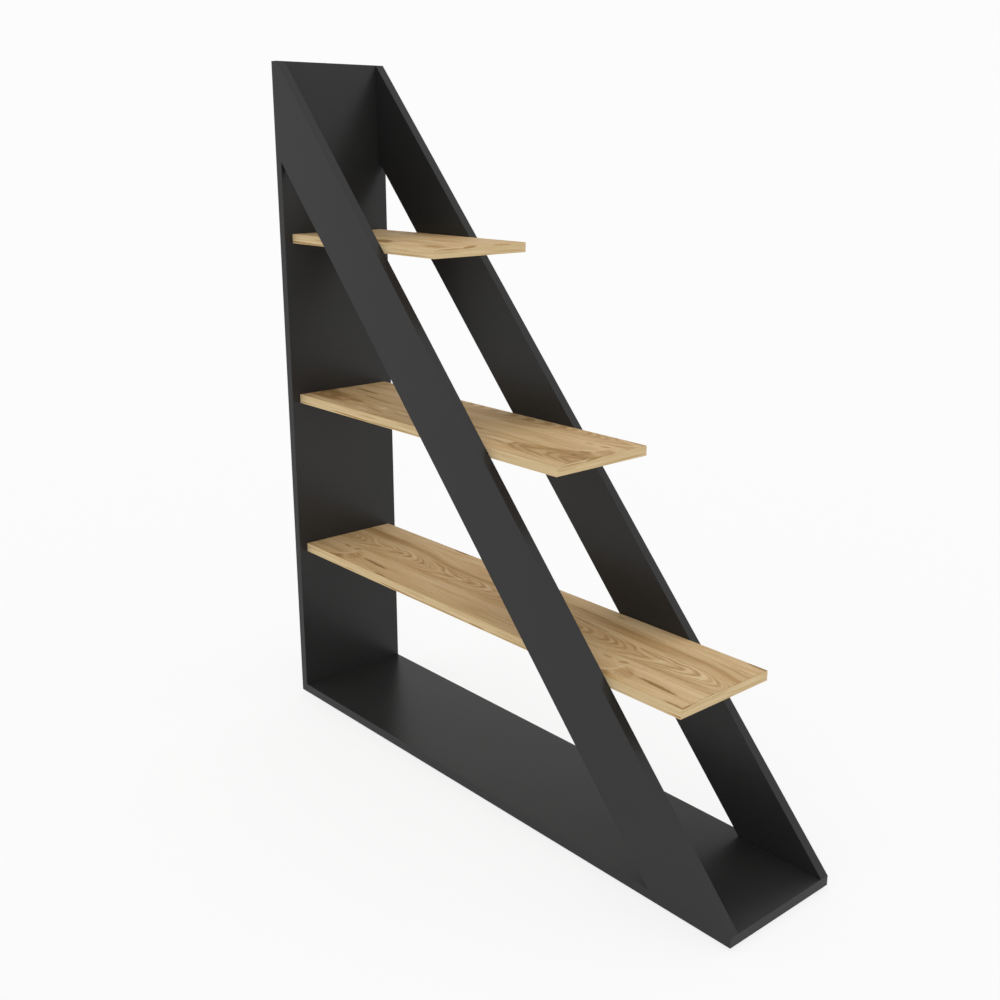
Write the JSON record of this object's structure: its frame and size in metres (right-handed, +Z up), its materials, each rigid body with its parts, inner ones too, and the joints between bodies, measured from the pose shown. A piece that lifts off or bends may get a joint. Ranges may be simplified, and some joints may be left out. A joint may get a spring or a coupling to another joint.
{
  "type": "corner bookcase",
  "caption": "Right-angled triangle of black boards, upright, base and two sloping diagonals, with oak-pattern shelves between the diagonals that stick out past the slope.",
  "frame": {"origin": "on the floor, under the middle of the whole bookcase", "axes": "+X from the upright panel towards the tip of the base, +Y from the front to the back, +Z up"},
  "size_m": [1.2, 0.25, 1.322],
  "materials": {
    "black_board": "anthracite melamine face on chipboard, fine matt texture",
    "black_edge": "anthracite edge band, matt",
    "oak_board": "oak-pattern melamine face on chipboard, matt",
    "oak_edge": "oak-pattern edge band, grain along the edge",
    "screw_steel": "zinc-plated steel",
    "bolt_steel": "zinc-plated steel",
    "nail_steel": "bright steel",
    "cam_zinc": "cast zinc, tumbled",
    "beech_dowel": "plain beech",
    "cap_plastic": "anthracite plastic",
    "glide_plastic": "black plastic"
  },
  "bodies": {
    "root": {"base_dowels": "beech_dowel", "base_end_band": "black_edge", "base_front_band": "black_edge", "base_panel": "black_board", "base_rear_band": "black_edge", "base_screws": "screw_steel", "floor_glides": "glide_plastic", "front_diagonal": "black_board", "front_diagonal_dowels": "beech_dowel", "front_diagonal_foot_screws": "screw_steel", "front_diagonal_lower_band": "black_edge", "front_diagonal_top_screws": "screw_steel", "front_diagonal_upper_band": "black_edge", "glide_nails": "nail_steel", "lower_shelf": "oak_board", "lower_shelf_cam_bolts": "bolt_steel", "lower_shelf_cams": "cam_zinc", "lower_shelf_dowels": "beech_dowel", "lower_shelf_end_band": "oak_edge", "lower_shelf_front_band": "oak_edge", "lower_shelf_rear_band": "oak_edge", "middle_shelf": "oak_board", "middle_shelf_cam_bolts": "bolt_steel", "middle_shelf_cams": "cam_zinc", "middle_shelf_dowels": "beech_dowel", "middle_shelf_end_band": "oak_edge", "middle_shelf_front_band": "oak_edge", "middle_shelf_rear_band": "oak_edge", "rear_diagonal": "black_board", "rear_diagonal_dowels": "beech_dowel", "rear_diagonal_foot_screws": "screw_steel", "rear_diagonal_lower_band": "black_edge", "rear_diagonal_top_screws": "screw_steel", "rear_diagonal_upper_band": "black_edge", "top_shelf": "oak_board", "top_shelf_cam_bolts": "bolt_steel", "top_shelf_cams": "cam_zinc", "top_shelf_dowels": "beech_dowel", "top_shelf_end_band": "oak_edge", "top_shelf_front_band": "oak_edge", "top_shelf_rear_band": "oak_edge", "upright_front_band": "black_edge", "upright_panel": "black_board", "upright_rear_band": "black_edge", "upright_screw_caps": "cap_plastic", "upright_top_band": "black_edge"}
  },
  "joints": []
}
